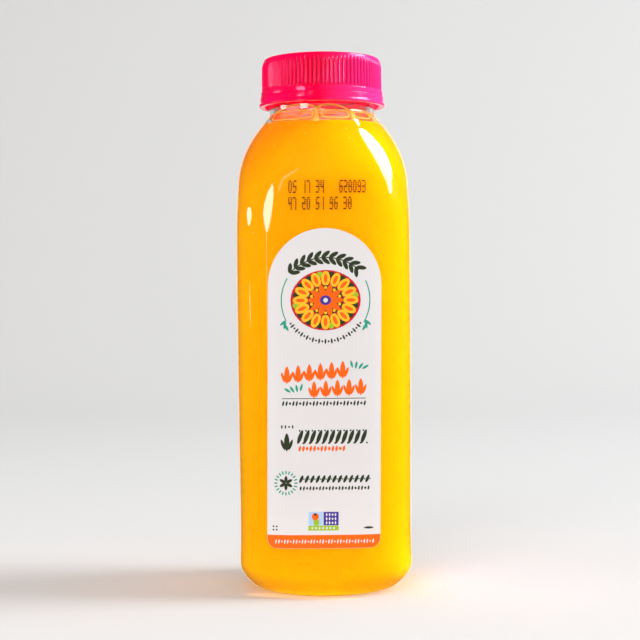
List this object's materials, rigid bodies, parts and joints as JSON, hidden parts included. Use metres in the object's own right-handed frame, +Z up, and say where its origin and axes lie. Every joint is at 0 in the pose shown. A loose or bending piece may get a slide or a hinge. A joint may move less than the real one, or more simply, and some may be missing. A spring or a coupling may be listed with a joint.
{
  "type": "bottle of orange juice",
  "caption": "Shut clear plastic bottle of orange juice, rounded square with a round neck, a ribbed pink screw cap, a tamper ring and an arched front label.",
  "frame": {"origin": "centre of the ring that the bottle stands on, at the level of the surface under it", "axes": "+Z up along the bottle's axis, -Y out of the label, +X to the right seen from the label's side"},
  "size_m": [0.0554, 0.0558, 0.1685],
  "materials": {
    "clear_plastic": "clear blown plastic, glossy inside and out",
    "orange_juice": "cloudy orange-yellow juice, wet where it touches the wall",
    "pink_plastic": "hot pink moulded plastic, satin to glossy",
    "label_film": null
  },
  "bodies": {
    "root": {"bottle": "clear_plastic", "juice": "orange_juice", "cap": "pink_plastic", "tamper_ring": "pink_plastic", "label": "label_film"}
  },
  "joints": []
}
